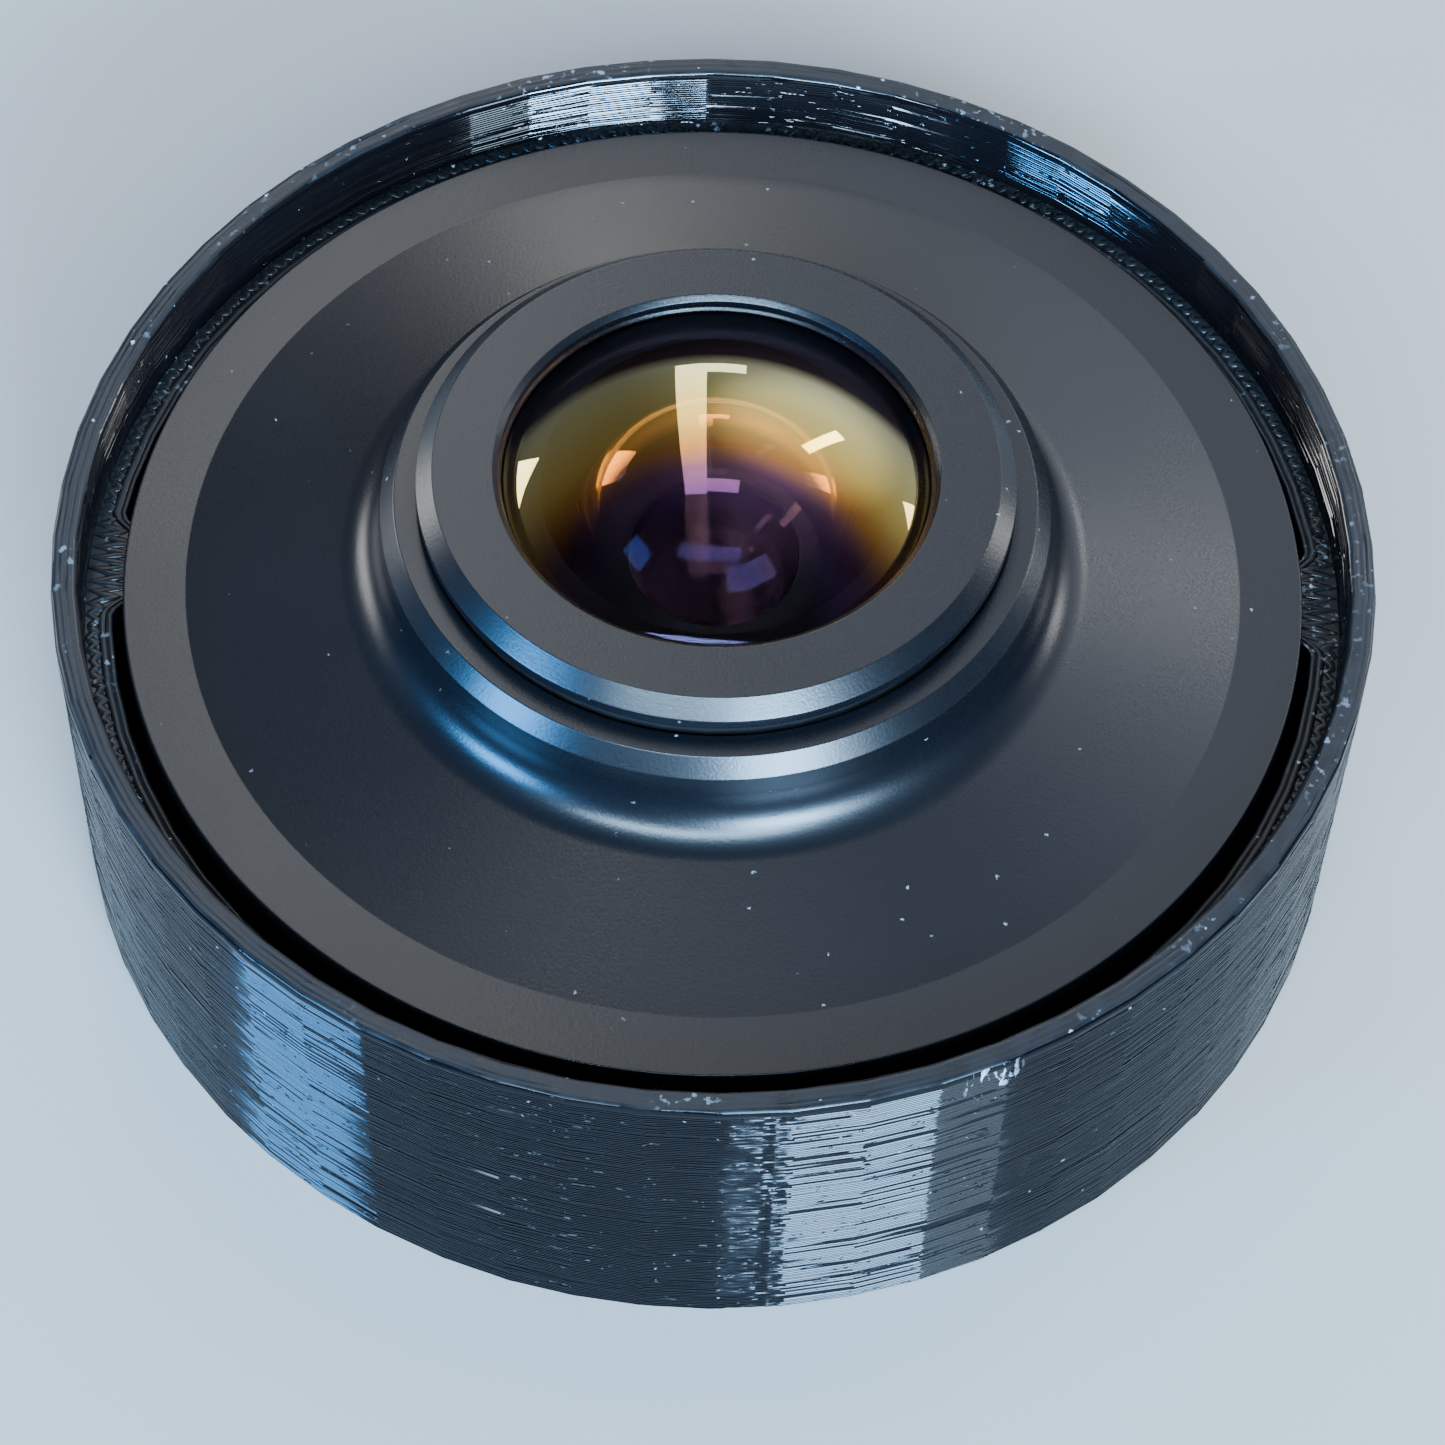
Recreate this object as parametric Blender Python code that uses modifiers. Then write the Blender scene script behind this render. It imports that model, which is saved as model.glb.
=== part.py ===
"""A coated dome lens unit resting face up in a printed stand cup.

Metres, +Z up. The origin is the centre of the cup's underside, and every turned piece shares the
Z axis. Four bodies: the cup; the housing, which lifts out of it; the focus ring, which turns on
the housing's rear barrel; and the lens cell, which the ring's cam grooves drive along the axis.
"""

import math

import bmesh
import bpy
from mathutils import Matrix, Vector

MM = 0.001
GAP = 0.3 * MM

# Stand cup
CUP_R = 40.0 * MM
CUP_H = 23.3 * MM
CUP_EDGE = 0.4 * MM
RIM_IN_R = 38.4 * MM
LEDGE_Z = 18.8 * MM
WELL_R = 36.6 * MM
FLOOR_Z = 2.0 * MM
RIB_COUNT = 4
RIB_IN_R = 34.5 * MM
RIB_HALF_WIDTH = 1.9 * MM
RIB_ROOT = 1.4 * MM

# Front housing: flange, dish and hub turned from one blank
FLANGE_R = 35.9 * MM
FLANGE_TOP_Z = 20.5 * MM
FLANGE_EDGE = 0.2 * MM
FLAT_IN_R = 32.1 * MM
FILLET_R = 3.2 * MM
FILLET_TOP_Z = 25.35 * MM
DISH_TILT = math.radians(10.2)
HUB_R = 20.1 * MM
HUB_CHAMFER_LOW_Z = 26.8 * MM
HUB_TOP_R = 19.2 * MM
HUB_TOP_Z = 27.9 * MM
BORE_R = 17.6 * MM
BORE_LEAD_IN = 0.2 * MM
WIPER_GROOVE_R = 18.8 * MM
WIPER_GROOVE_LOW_Z = 24.3 * MM
WIPER_GROOVE_HIGH_Z = 25.9 * MM
WIPER_R = 18.1 * MM
WIPER_SECTION_R = 0.4 * MM
BOSS_R = 27.4 * MM
BOSS_Z = 17.6 * MM

# Lens cell: the barrel that slides in the bore, and the bezel ring on its front
CELL_R = BORE_R - GAP
CELL_REAR_Z = 5.0 * MM
CELL_FRONT_Z = 28.1 * MM
COUNTERBORE_R = 15.7 * MM
COUNTERBORE_Z = 25.2 * MM
SEAT_R = 14.9 * MM
SEAT_Z = 24.6 * MM
SHOULDER_R = 11.8 * MM
SHOULDER_Z = 22.6 * MM
STACK_BORE_R = 12.9 * MM
STACK_R = STACK_BORE_R - GAP
BEZEL_TOP_Z = 30.4 * MM
BEZEL_FLAT_R = 16.85 * MM
BEZEL_R = 17.85 * MM
BEZEL_CHAMFER_LOW_Z = 29.4 * MM
BEZEL_HEAD_Z = 28.75 * MM
BEZEL_OPENING_R = 13.3 * MM
BEZEL_LIP_R = 12.95 * MM
BEZEL_LIP_LOW_Z = 29.15 * MM
BEZEL_LIP_CHAMFER = 0.3 * MM

BEZEL_SKIRT_LOW_Z = 25.6 * MM
FRONT_SEAL_R = 13.9 * MM
FRONT_SEAL_Z = 25.25 * MM
FRONT_SEAL_SECTION_R = 0.35 * MM

# Glass. Each face has a clear radius, the height of its flat land and the radius of its curve.
LENS_R = 14.6 * MM
LENS_FRONT = (13.2 * MM, 28.84 * MM, 19.5 * MM)
LENS_REAR = (9.0 * MM, 25.9 * MM, -10.5 * MM)
STACK_CLEAR_R = 11.2 * MM
SECOND_FRONT = (STACK_CLEAR_R, 22.3 * MM, 45.0 * MM)
SECOND_REAR = (STACK_CLEAR_R, 19.6 * MM, -25.0 * MM)
THIRD_FRONT = (STACK_CLEAR_R, 16.1 * MM, 30.0 * MM)
THIRD_REAR = (STACK_CLEAR_R, 12.9 * MM, 60.0 * MM)
REAR_FRONT = (STACK_CLEAR_R, 10.6 * MM, -35.0 * MM)
REAR_REAR = (STACK_CLEAR_R, 7.9 * MM, 45.0 * MM)

# Rings between the glass: inner radius, low and high
APERTURE_STOP = (6.5 * MM, 18.9 * MM, 19.3 * MM)
FRONT_SPACER = (11.4 * MM, 16.4 * MM, 18.6 * MM)
REAR_SPACER = (11.4 * MM, 10.9 * MM, 12.6 * MM)
REAR_RETAINER = (11.1 * MM, 5.7 * MM, 7.6 * MM)
SPANNER_SLOT_WIDTH = 1.2 * MM
SPANNER_SLOT_DEPTH = 0.9 * MM

# Rear barrel, focus ring and the pins that join them to the cell
BARREL_FLANGE_R = 27.1 * MM
BARREL_FLANGE_Z = 15.2 * MM
BARREL_R = 19.6 * MM
BARREL_REAR_Z = 4.2 * MM
SEAL_GROOVE_R = 20.2 * MM
SEAL_GROOVE_HALF = 0.75 * MM
SEAL_GROOVE_DEPTH = 1.2 * MM
BARREL_SEAL_SECTION_R = 0.4 * MM
BARREL_SEAL_DROP = 0.45 * MM
WASHER_R = 22.6 * MM
RETAINER_R = 22.8 * MM
RETAINER_LOW_Z = 4.3 * MM
RETAINER_CHAMFER = 0.4 * MM
GRUB_HOLE_R = 0.75 * MM
GRUB_R = 0.5 * MM
GRUB_OUT_R = 22.4 * MM
FOCUS_IN_R = BARREL_R + GAP
FOCUS_FLANGE_R = 25.0 * MM
FOCUS_WAIST_R = 23.2 * MM
FOCUS_LOW_Z = 6.5 * MM
FOCUS_HIGH_Z = 14.2 * MM
FOCUS_FLANGE_H = 0.8 * MM
GRIP_R = 25.5 * MM
GRIP_RIBS = 36
GRIP_RIB_H = 0.5 * MM
PIN_COUNT = 3
PIN_R = 1.0 * MM
PIN_Z = 9.0 * MM
PIN_IN_R = 14.2 * MM
PIN_OUT_R = 20.8 * MM
CAM_GROOVE_R = 1.5 * MM
FOCUS_TURN = math.radians(90.0)
FOCUS_TRAVEL = 2.0 * MM

# Screws that hold the rear barrel on the housing's boss
SCREW_COUNT = 4
SCREW_CIRCLE_R = 23.9 * MM
SCREW_HEAD_R = 2.0 * MM
SCREW_SHANK_R = 1.05 * MM
SCREW_TIP_Z = 20.2 * MM
SCREW_HEAD_LOW_Z = 15.3 * MM
SCREW_CONE_LOW_Z = 15.5 * MM

CUT_THROUGH = 1.0 * MM
WIDE_STEPS = 48
INNER_STEPS = 40
LENS_STEPS = 32
DOME_POINTS = 7
STACK_POINTS = 4
SCREW_STEPS = 16
SEAL_SIDES = 6
SMOOTH_BELOW = math.radians(25.0)


def clear_scene():
    for obj in list(bpy.data.objects):
        bpy.data.objects.remove(obj)


def collection(name):
    made = bpy.data.collections.new(name)
    bpy.context.scene.collection.children.link(made)
    return made


def principled(name, colour, roughness, metallic=0.0):
    material = bpy.data.materials.new(name)
    material.use_nodes = True
    shader = material.node_tree.nodes["Principled BSDF"]
    shader.inputs["Base Color"].default_value = (*colour, 1.0)
    shader.inputs["Roughness"].default_value = roughness
    shader.inputs["Metallic"].default_value = metallic
    return material


# Shapes


def arc(centre, radius, start, end, steps):
    """Points of an arc in the profile plane, angles from +X towards +Z."""
    turn = (end - start) / steps
    angles = [start + turn * i for i in range(steps + 1)]
    return [(centre[0] + radius * math.cos(a), centre[1] + radius * math.sin(a)) for a in angles]


def turned(name, profile, steps=INNER_STEPS, closed=True):
    """Turns a profile of (radius, height) points about Z. Its outer side runs downwards."""
    last = len(profile) - 1
    edges = [(i, i + 1) for i in range(last)]
    if closed:
        edges.append((last, 0))
    mesh = bpy.data.meshes.new(name)
    mesh.from_pydata([(radius, 0.0, height) for radius, height in profile], edges, [])
    obj = bpy.data.objects.new(name, mesh)
    screw = obj.modifiers.new("turn", "SCREW")
    screw.axis = "Z"
    screw.angle = math.tau
    screw.steps = steps
    screw.render_steps = steps
    screw.use_merge_vertices = True
    screw.merge_threshold = 1e-5
    return obj


def ring_profile(inner, outer, low, high):
    return [(inner, high), (outer, high), (outer, low), (inner, low)]


def seal_ring(name, radius, height, section_r):
    """A seal ring with a round section."""
    section = arc((radius, height), section_r, 0.5 * math.pi, -1.5 * math.pi, SEAL_SIDES)
    return turned(name, section[:-1], LENS_STEPS)


def sag(curve_r, radius):
    """How far a spherical face falls from its middle to a radius. Negative where it is hollow."""
    size = abs(curve_r)
    return math.copysign(size - math.sqrt(size * size - radius * radius), curve_r)


def lens_face(clear_r, land_z, curve_r, side, points):
    """Points of a lens face from its middle outwards. Side is 1 for a front and -1 for a rear."""
    radii = [clear_r * i / points for i in range(points + 1)]
    return [(r, land_z + side * (sag(curve_r, clear_r) - sag(curve_r, r))) for r in radii]


def lens(name, edge_r, front, rear, points=STACK_POINTS):
    """A lens with spherical faces inside their clear radii and flat lands out to edge_r."""
    front_points = lens_face(*front, 1.0, points)
    rear_points = lens_face(*rear, -1.0, points)
    profile = front_points + [(edge_r, front[1]), (edge_r, rear[1])] + rear_points[::-1]
    return turned(name, profile, LENS_STEPS, closed=False)


def settled_mesh(obj):
    """The object's mesh with its modifiers applied, in the object's own space."""
    if not obj.users_collection:
        bpy.context.scene.collection.objects.link(obj)
    bpy.context.view_layer.update()
    graph = bpy.context.evaluated_depsgraph_get()
    return bpy.data.meshes.new_from_object(obj.evaluated_get(graph), depsgraph=graph)


def copies(name, obj, places):
    """One cutter that holds a separate copy of obj's solid at each place. obj is removed."""
    mesh = settled_mesh(obj)
    bpy.data.objects.remove(obj)
    joined = bmesh.new()
    for place in places:
        placed = mesh.copy()
        placed.transform(place)
        joined.from_mesh(placed)
    result = bpy.data.meshes.new(name)
    joined.to_mesh(result)
    joined.free()
    return bpy.data.objects.new(name, result)


def around(count, start=0.0):
    """Rotations about Z that share a full turn."""
    return [Matrix.Rotation(start + math.tau * i / count, 4, "Z") for i in range(count)]


def rod(name, radius, start, end, segments=16):
    """A capped cylinder between two points."""
    along = Vector(end) - Vector(start)
    work = bmesh.new()
    bmesh.ops.create_cone(
        work, cap_ends=True, segments=segments, radius1=radius, radius2=radius, depth=along.length
    )
    turn = Vector((0.0, 0.0, 1.0)).rotation_difference(along).to_matrix().to_4x4()
    middle = Matrix.Translation((Vector(start) + Vector(end)) / 2)
    work.transform(middle @ turn)
    mesh = bpy.data.meshes.new(name)
    work.to_mesh(mesh)
    work.free()
    return bpy.data.objects.new(name, mesh)


def block(name, low, high):
    """A box between two corners."""
    work = bmesh.new()
    bmesh.ops.create_cube(work, size=1.0)
    size = Vector(high) - Vector(low)
    bmesh.ops.scale(work, vec=size, verts=work.verts)
    bmesh.ops.translate(work, vec=(Vector(low) + Vector(high)) / 2, verts=work.verts)
    mesh = bpy.data.meshes.new(name)
    work.to_mesh(mesh)
    work.free()
    return bpy.data.objects.new(name, mesh)


def round_slot(name, half_width, low, high, start_r, end_r):
    """A radial cutter along +X for a slot with round ends that runs from low to high."""
    obj = rod(name, half_width, (start_r, 0.0, 0.0), (end_r, 0.0, 0.0))
    for vertex in obj.data.vertices:
        vertex.co.z += high - half_width if vertex.co.z > 0.0 else low + half_width
    return obj


def tube_along(name, points, radius):
    """A capped round tube through the points, as a closed mesh."""
    curve = bpy.data.curves.new(name, "CURVE")
    curve.dimensions = "3D"
    curve.bevel_depth = radius
    curve.bevel_resolution = 2
    curve.use_fill_caps = True
    spline = curve.splines.new("POLY")
    spline.points.add(len(points) - 1)
    for place, point in zip(spline.points, points):
        place.co = (*point, 1.0)
    path = bpy.data.objects.new(name + "_path", curve)
    mesh = settled_mesh(path)
    bpy.data.objects.remove(path)
    work = bmesh.new()
    work.from_mesh(mesh)
    bmesh.ops.remove_doubles(work, verts=work.verts, dist=1e-6)
    work.to_mesh(mesh)
    work.free()
    return bpy.data.objects.new(name, mesh)


def cut(obj, cutter):
    """Takes the cutter's shape out of obj."""
    difference = obj.modifiers.new("cut", "BOOLEAN")
    difference.operation = "DIFFERENCE"
    difference.solver = "EXACT"
    difference.object = cutter
    cutter.display_type = "WIRE"
    cutter.hide_render = True
    for holder in list(cutter.users_collection):
        holder.objects.unlink(cutter)
    cutters.objects.link(cutter)


def finish(obj, body, material):
    """Settles the modifiers, shades the faces and hangs the piece on its body."""
    parts.objects.link(obj)
    mesh = settled_mesh(obj)
    obj.modifiers.clear()
    obj.data = mesh
    mesh.name = obj.name
    mesh.materials.clear()
    mesh.materials.append(material)
    mesh.shade_smooth()
    mesh.set_sharp_from_angle(angle=SMOOTH_BELOW)
    obj.parent = body


def body_axis(name):
    """An empty on the common axis, which carries one body's pieces."""
    empty = bpy.data.objects.new(name, None)
    empty.empty_display_size = 10 * MM
    parts.objects.link(empty)
    return empty


# Stand cup


def well_radius(angle):
    """The well's wall radius, drawn in where an upright rib stands."""
    pitch = math.tau / RIB_COUNT
    offset = abs((angle + pitch / 2) % pitch - pitch / 2) * RIB_IN_R
    rise = min(max((RIB_HALF_WIDTH + RIB_ROOT - offset) / RIB_ROOT, 0.0), 1.0)
    return WELL_R - (WELL_R - RIB_IN_R) * rise * rise * (3.0 - 2.0 * rise)


def well_angles():
    """Angles round the well: even between the ribs, and close together over each rib."""
    pitch = math.tau / RIB_COUNT
    rib_angle = (RIB_HALF_WIDTH + RIB_ROOT) / RIB_IN_R
    root_angle = RIB_ROOT / RIB_IN_R
    root = [i / 6 for i in range(7)]
    plain = [i / 12 for i in range(1, 12)]
    angles = []
    for rib in range(RIB_COUNT):
        middle = pitch * rib
        angles += [middle - rib_angle + root_angle * t for t in root]
        angles += [middle + rib_angle - root_angle * t for t in reversed(root)]
        angles += [middle + rib_angle + (pitch - 2 * rib_angle) * t for t in plain]
    return angles


def well_cutter():
    """The well's outline, raised from the floor to just above the ledge."""
    work = bmesh.new()
    outline = [
        work.verts.new((well_radius(a) * math.cos(a), well_radius(a) * math.sin(a), FLOOR_Z))
        for a in well_angles()
    ]
    face = work.faces.new(outline)
    raised = bmesh.ops.extrude_face_region(work, geom=[face])["geom"]
    lift = Vector((0.0, 0.0, LEDGE_Z + CUT_THROUGH - FLOOR_Z))
    bmesh.ops.translate(work, verts=[v for v in raised if isinstance(v, bmesh.types.BMVert)], vec=lift)
    bmesh.ops.recalc_face_normals(work, faces=work.faces)
    mesh = bpy.data.meshes.new("well")
    work.to_mesh(mesh)
    work.free()
    return bpy.data.objects.new("well", mesh)


def printed_cup(body, plastic):
    """The cup: outer wall, thin upper rim, ledge, and a well with four upright ribs."""
    profile = [
        (0.0, LEDGE_Z),
        (RIM_IN_R, LEDGE_Z),
        (RIM_IN_R, CUP_H - CUP_EDGE),
        (RIM_IN_R + CUP_EDGE, CUP_H),
        (CUP_R - CUP_EDGE, CUP_H),
        (CUP_R, CUP_H - CUP_EDGE),
        (CUP_R, CUP_EDGE),
        (CUP_R - CUP_EDGE, 0.0),
        (0.0, 0.0),
    ]
    cup = turned("printed_cup", profile, WIDE_STEPS, closed=False)
    cut(cup, well_cutter())
    finish(cup, body, plastic)


# Housing


def screw_profile(grow=0.0):
    """A countersunk screw, head down, standing on the underside of the rear barrel's flange."""
    head_r = SCREW_HEAD_R + grow
    shank_r = SCREW_SHANK_R + grow
    low = SCREW_HEAD_LOW_Z - 3.0 * grow
    tip = SCREW_TIP_Z + grow
    profile = [(0.0, tip), (shank_r, tip), (shank_r, SCREW_CONE_LOW_Z + head_r - shank_r)]
    return profile + [(head_r, SCREW_CONE_LOW_Z), (head_r, low), (0.0, low)]


def screw_places():
    """Where the screws stand, half way between the cup's ribs."""
    shift = Matrix.Translation((SCREW_CIRCLE_R, 0.0, 0.0))
    return [turn @ shift for turn in around(SCREW_COUNT, math.pi / SCREW_COUNT)]


def screw_holes(name):
    hole = turned(name + "_tool", screw_profile(GAP), SCREW_STEPS, closed=False)
    return copies(name, hole, screw_places())


def front_housing(body, metal):
    """Flange with a flat outer band, a shallow cone, a fillet and the hub's chamfered end."""
    fillet_centre = (HUB_R + FILLET_R, FILLET_TOP_Z)
    fillet = arc(fillet_centre, FILLET_R, math.pi, 1.5 * math.pi - DISH_TILT, 6)
    profile = [
        (BORE_R, HUB_TOP_Z - BORE_LEAD_IN),
        (BORE_R + BORE_LEAD_IN, HUB_TOP_Z),
        (HUB_TOP_R, HUB_TOP_Z),
        (HUB_R, HUB_CHAMFER_LOW_Z),
        *fillet,
        (FLAT_IN_R, FLANGE_TOP_Z),
        (FLANGE_R - FLANGE_EDGE, FLANGE_TOP_Z),
        (FLANGE_R, FLANGE_TOP_Z - FLANGE_EDGE),
        (FLANGE_R, LEDGE_Z + GAP),
        (BOSS_R, LEDGE_Z + GAP),
        (BOSS_R, BOSS_Z),
        (BORE_R, BOSS_Z),
        (BORE_R, WIPER_GROOVE_LOW_Z),
        (WIPER_GROOVE_R, WIPER_GROOVE_LOW_Z),
        (WIPER_GROOVE_R, WIPER_GROOVE_HIGH_Z),
        (BORE_R, WIPER_GROOVE_HIGH_Z),
    ]
    housing = turned("front_housing", profile, WIDE_STEPS)
    cut(housing, screw_holes("housing_screw_holes"))
    finish(housing, body, metal)


def hub_seal(body, rubber):
    """The wiper ring in the hub's groove."""
    height = (WIPER_GROOVE_LOW_Z + WIPER_GROOVE_HIGH_Z) / 2
    finish(seal_ring("hub_seal_ring", WIPER_R, height, WIPER_SECTION_R), body, rubber)


def rear_barrel(body, metal):
    """The tube behind the flange, with its screw flange, seal groove and three guide slots."""
    top = BOSS_Z - GAP
    groove_low = top - SEAL_GROOVE_DEPTH
    profile = [
        (BORE_R, top),
        (SEAL_GROOVE_R - SEAL_GROOVE_HALF, top),
        (SEAL_GROOVE_R - SEAL_GROOVE_HALF, groove_low),
        (SEAL_GROOVE_R + SEAL_GROOVE_HALF, groove_low),
        (SEAL_GROOVE_R + SEAL_GROOVE_HALF, top),
        (BARREL_FLANGE_R, top),
        (BARREL_FLANGE_R, BARREL_FLANGE_Z),
        (BARREL_R, BARREL_FLANGE_Z),
        (BARREL_R, BARREL_REAR_Z),
        (BORE_R, BARREL_REAR_Z),
    ]
    barrel = turned("rear_barrel", profile)
    cut(barrel, screw_holes("barrel_screw_holes"))
    low = PIN_Z - PIN_R - GAP
    high = PIN_Z + FOCUS_TRAVEL + PIN_R + GAP
    slot = round_slot("guide_slot", PIN_R + GAP, low, high, BORE_R - CUT_THROUGH, BARREL_R + CUT_THROUGH)
    cut(barrel, copies("guide_slots", slot, around(PIN_COUNT)))
    finish(barrel, body, metal)


def barrel_seal(body, rubber):
    """The ring that seals the rear barrel to the boss."""
    height = BOSS_Z - GAP - BARREL_SEAL_DROP
    ring = seal_ring("barrel_seal_ring", SEAL_GROOVE_R, height, BARREL_SEAL_SECTION_R)
    finish(ring, body, rubber)


def barrel_screws(body, steel):
    for i, place in enumerate(screw_places()):
        screw = turned(f"barrel_screw_{i + 1}", screw_profile(), SCREW_STEPS, closed=False)
        screw.matrix_world = place
        finish(screw, body, steel)


def thrust_washer(body, plastic):
    """The slide washer between the focus ring and the barrel's flange."""
    profile = ring_profile(FOCUS_IN_R, WASHER_R, FOCUS_HIGH_Z + GAP, BARREL_FLANGE_Z - GAP)
    finish(turned("focus_thrust_washer", profile), body, plastic)


def ring_retainer(body, metal):
    """The ring on the barrel's end that keeps the focus ring on, with a hole for its grub screw."""
    high = FOCUS_LOW_Z - GAP
    profile = [
        (FOCUS_IN_R, high),
        (RETAINER_R, high),
        (RETAINER_R, RETAINER_LOW_Z + RETAINER_CHAMFER),
        (RETAINER_R - RETAINER_CHAMFER, RETAINER_LOW_Z),
        (FOCUS_IN_R, RETAINER_LOW_Z),
    ]
    retainer = turned("focus_ring_retainer", profile)
    height = (RETAINER_LOW_Z + high) / 2
    start = (0.0, CUT_THROUGH - FOCUS_IN_R, height)
    hole = rod("grub_hole", GRUB_HOLE_R, start, (0.0, -(RETAINER_R + CUT_THROUGH), height))
    cut(retainer, hole)
    finish(retainer, body, metal)
    return height


def grub_screw(body, steel, height):
    """The grub screw that locks the retainer."""
    start = (0.0, -(FOCUS_IN_R + 0.1 * MM), height)
    end = (0.0, -GRUB_OUT_R, height)
    finish(rod("retainer_grub_screw", GRUB_R, start, end, 12), body, steel)


# Focus ring


def cam_points(start_angle):
    """The path of a guide pin seen from the turning ring: it climbs as it falls back."""
    overrun = 0.06
    spans = 12
    points = []
    for i in range(spans + 1):
        share = -overrun + (1.0 + 2.0 * overrun) * i / spans
        angle = start_angle - FOCUS_TURN * share
        height = PIN_Z + FOCUS_TRAVEL * share
        points.append((FOCUS_IN_R * math.cos(angle), FOCUS_IN_R * math.sin(angle), height))
    return points


def focus_ring(body, metal):
    """The ring that is turned by hand, with a waist for its grip and three cam grooves inside."""
    waist_low = FOCUS_LOW_Z + FOCUS_FLANGE_H
    waist_high = FOCUS_HIGH_Z - FOCUS_FLANGE_H
    profile = [
        (FOCUS_IN_R, FOCUS_HIGH_Z),
        (FOCUS_FLANGE_R, FOCUS_HIGH_Z),
        (FOCUS_FLANGE_R, waist_high),
        (FOCUS_WAIST_R, waist_high),
        (FOCUS_WAIST_R, waist_low),
        (FOCUS_FLANGE_R, waist_low),
        (FOCUS_FLANGE_R, FOCUS_LOW_Z),
        (FOCUS_IN_R, FOCUS_LOW_Z),
    ]
    ring = turned("focus_ring", profile)
    for i in range(PIN_COUNT):
        path = cam_points(math.tau * i / PIN_COUNT)
        cut(ring, tube_along(f"cam_groove_{i + 1}", path, CAM_GROOVE_R))
    finish(ring, body, metal)


def focus_grip(body, rubber):
    """The ribbed rubber band round the focus ring's waist."""
    low = FOCUS_LOW_Z + FOCUS_FLANGE_H + GAP
    high = FOCUS_HIGH_Z - FOCUS_FLANGE_H - GAP
    work = bmesh.new()
    segments = GRIP_RIBS * 4
    bmesh.ops.create_cone(
        work, cap_ends=True, segments=segments, radius1=GRIP_R, radius2=GRIP_R, depth=high - low
    )
    bmesh.ops.translate(work, verts=work.verts, vec=(0.0, 0.0, (low + high) / 2))
    for vertex in work.verts:
        angle = math.atan2(vertex.co.y, vertex.co.x)
        place = round(angle / math.tau * segments) % 4
        if place in (0, 1):
            vertex.co.xy *= (GRIP_R - GRIP_RIB_H) / GRIP_R
    mesh = bpy.data.meshes.new("focus_grip")
    work.to_mesh(mesh)
    work.free()
    grip = bpy.data.objects.new("focus_grip", mesh)
    bore_r = FOCUS_WAIST_R + GAP
    bore = [(0.0, high + GAP), (bore_r, high + GAP), (bore_r, low - GAP), (0.0, low - GAP)]
    cut(grip, turned("grip_bore", bore, closed=False))
    finish(grip, body, rubber)


# Lens cell


def lens_barrel(body, metal):
    """The barrel that holds the glass, stepped for the front seat and the rear stack."""
    profile = [
        (COUNTERBORE_R, CELL_FRONT_Z),
        (CELL_R, CELL_FRONT_Z),
        (CELL_R, CELL_REAR_Z),
        (STACK_BORE_R, CELL_REAR_Z),
        (STACK_BORE_R, SHOULDER_Z),
        (SHOULDER_R, SHOULDER_Z),
        (SHOULDER_R, SEAT_Z),
        (SEAT_R, SEAT_Z),
        (SEAT_R, COUNTERBORE_Z),
        (COUNTERBORE_R, COUNTERBORE_Z),
    ]
    barrel = turned("lens_barrel", profile)
    start = (PIN_IN_R - GAP, 0.0, PIN_Z)
    hole = rod("pin_hole", PIN_R + GAP, start, (CELL_R + CUT_THROUGH, 0.0, PIN_Z))
    cut(barrel, copies("pin_holes", hole, around(PIN_COUNT)))
    finish(barrel, body, metal)


def guide_pins(body, steel):
    for i, place in enumerate(around(PIN_COUNT)):
        pin = rod(f"guide_pin_{i + 1}", PIN_R, (PIN_IN_R, 0.0, PIN_Z), (PIN_OUT_R, 0.0, PIN_Z))
        pin.matrix_world = place
        finish(pin, body, steel)


def front_bezel(body, metal):
    """The chamfered ring round the lens, with a neck and a skirt that screws into the barrel."""
    low = CELL_FRONT_Z + GAP
    profile = [
        (BEZEL_LIP_R, BEZEL_TOP_Z - BEZEL_LIP_CHAMFER),
        (BEZEL_OPENING_R, BEZEL_TOP_Z),
        (BEZEL_FLAT_R, BEZEL_TOP_Z),
        (BEZEL_R, BEZEL_CHAMFER_LOW_Z),
        (BEZEL_R, BEZEL_HEAD_Z),
        (CELL_R, BEZEL_HEAD_Z),
        (CELL_R, low),
        (COUNTERBORE_R - GAP, low),
        (COUNTERBORE_R - GAP, BEZEL_SKIRT_LOW_Z),
        (LENS_R + GAP, BEZEL_SKIRT_LOW_Z),
        (LENS_R + GAP, BEZEL_LIP_LOW_Z),
        (BEZEL_LIP_R, BEZEL_LIP_LOW_Z),
    ]
    finish(turned("front_bezel_ring", profile), body, metal)


def stack_ring(name, inner, low, high):
    """A plain ring that fits the barrel's bore."""
    return turned(name, ring_profile(inner, STACK_R, low, high))


def glass_stack(body, glass, metal, rubber):
    """The four lenses with the stop, the spacers and the front seal."""
    seal = seal_ring("front_seal_ring", FRONT_SEAL_R, FRONT_SEAL_Z, FRONT_SEAL_SECTION_R)
    finish(lens("front_lens", LENS_R, LENS_FRONT, LENS_REAR, DOME_POINTS), body, glass)
    finish(seal, body, rubber)
    finish(lens("second_lens", STACK_R, SECOND_FRONT, SECOND_REAR), body, glass)
    finish(stack_ring("aperture_stop", *APERTURE_STOP), body, metal)
    finish(stack_ring("front_spacer", *FRONT_SPACER), body, metal)
    finish(lens("third_lens", STACK_R, THIRD_FRONT, THIRD_REAR), body, glass)
    finish(stack_ring("rear_spacer", *REAR_SPACER), body, metal)
    finish(lens("rear_lens", STACK_R, REAR_FRONT, REAR_REAR), body, glass)


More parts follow.
